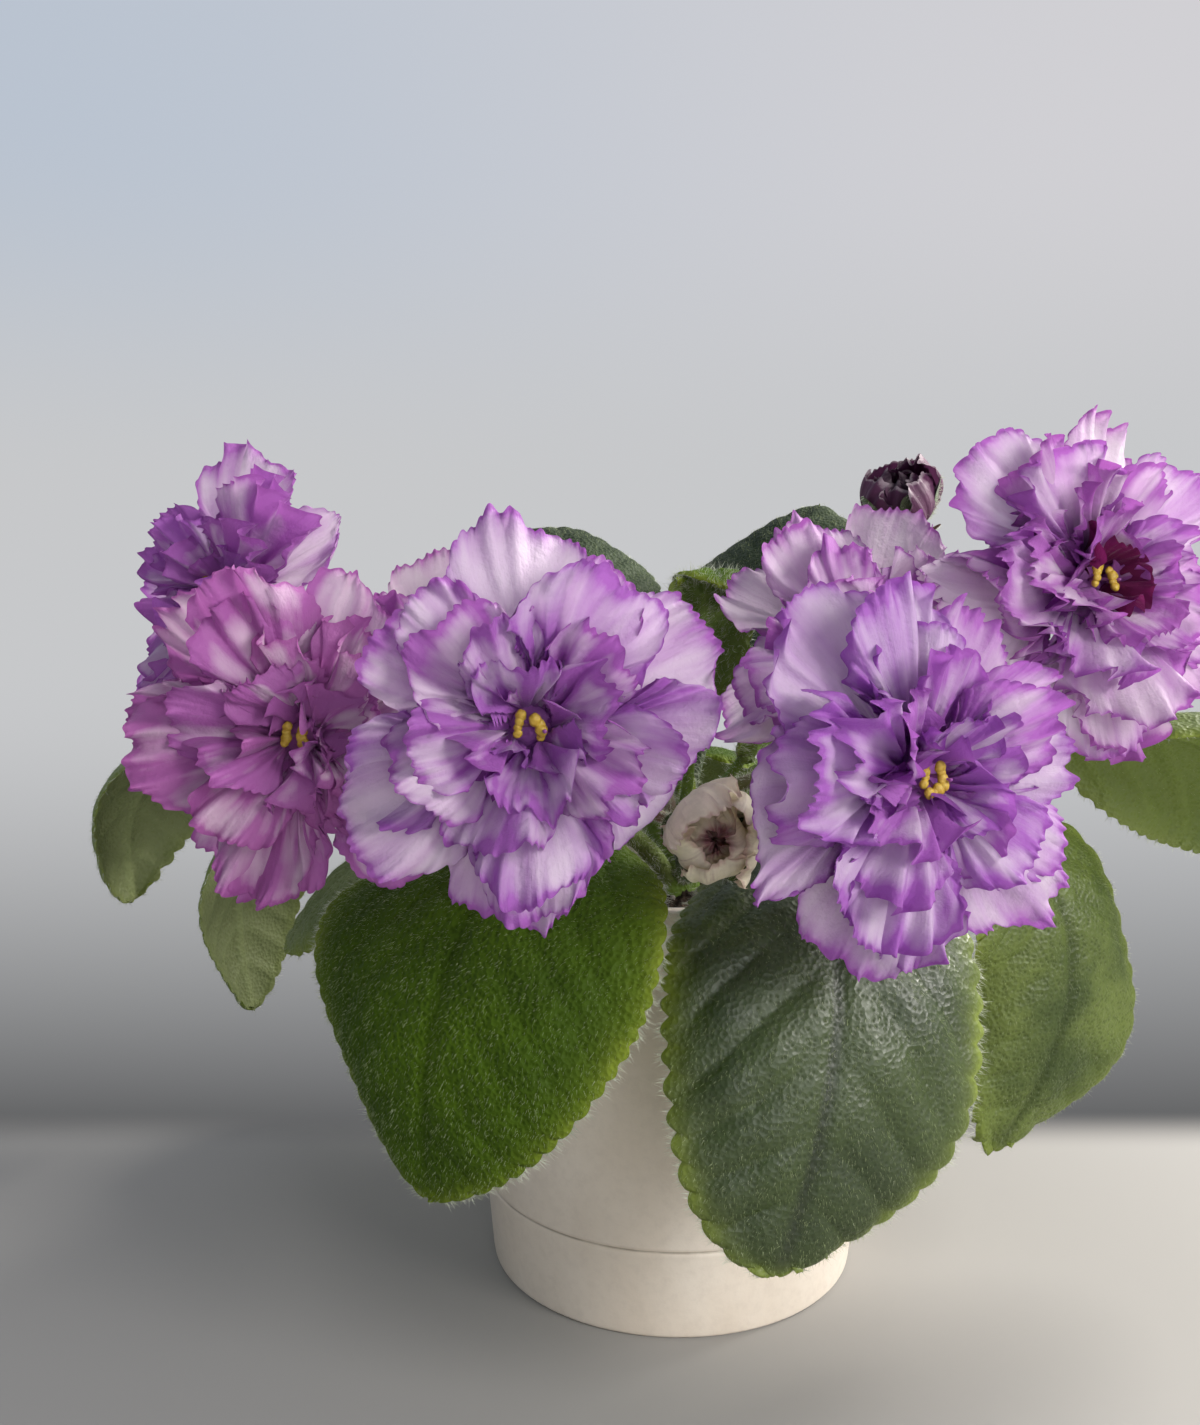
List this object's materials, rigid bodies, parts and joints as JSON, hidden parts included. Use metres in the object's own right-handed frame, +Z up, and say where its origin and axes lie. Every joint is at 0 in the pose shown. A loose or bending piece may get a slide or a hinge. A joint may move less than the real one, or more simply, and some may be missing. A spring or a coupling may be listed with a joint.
{
  "type": "potted african violet",
  "caption": "African violet in a plain tapered ceramic pot of soil, with toothed velvety leaves and large ruffled double flowers on branching stalks.",
  "frame": {"origin": "centre of the pot's foot, on the surface that it stands on", "axes": "+Z up along the pot's axis, -Y towards the side that most flowers face, +X to the right seen from there"},
  "size_m": [0.2874, 0.2193, 0.1815],
  "materials": {
    "pot": "matt cream glaze with faint mottling and a few brown specks",
    "soil": "dark moist potting mix, crumbly",
    "leaf": "velvety green with fine pale hairs, paler underneath",
    "stalk": "soft hairy green, flushed with brown",
    "petal": "satin petals, white to lilac with ruffled purple edges",
    "bud": "cream and pale green, with purple folds",
    "dark_bud": "dark purple and green, hairy",
    "stamen": "yellow, dusty with pollen"
  },
  "bodies": {
    "root": {"pot": "pot", "soil": "soil", "crown": "leaf", "leaf_front_left": "leaf", "leaf_front_right": "leaf", "leaf_right_low": "leaf", "leaf_right_far": "leaf", "leaf_right_back": "leaf", "leaf_back_right_low": "leaf", "leaf_back_right_up": "leaf", "leaf_back_low": "leaf", "leaf_back_up": "leaf", "leaf_back_left": "leaf", "leaf_left_hanging": "leaf", "leaf_left_far": "leaf", "leaf_left_short": "leaf", "leaf_young_front": "leaf", "leaf_young_back": "leaf", "bloom_left_front": "petal", "stamens_left_front": "stamen", "bloom_left_back": "petal", "stamens_left_back": "stamen", "bloom_middle_back": "petal", "stamens_middle_back": "stamen", "bloom_middle": "petal", "stamens_middle": "stamen", "bloom_right_front": "petal", "stamens_right_front": "stamen", "bloom_right_top": "petal", "stamens_right_top": "stamen", "bloom_right_back": "petal", "stamens_right_back": "stamen", "bud_front": "bud", "bud_back": "dark_bud", "stalk_left": "stalk", "stalk_middle": "stalk", "stalk_right": "stalk"}
  },
  "joints": []
}
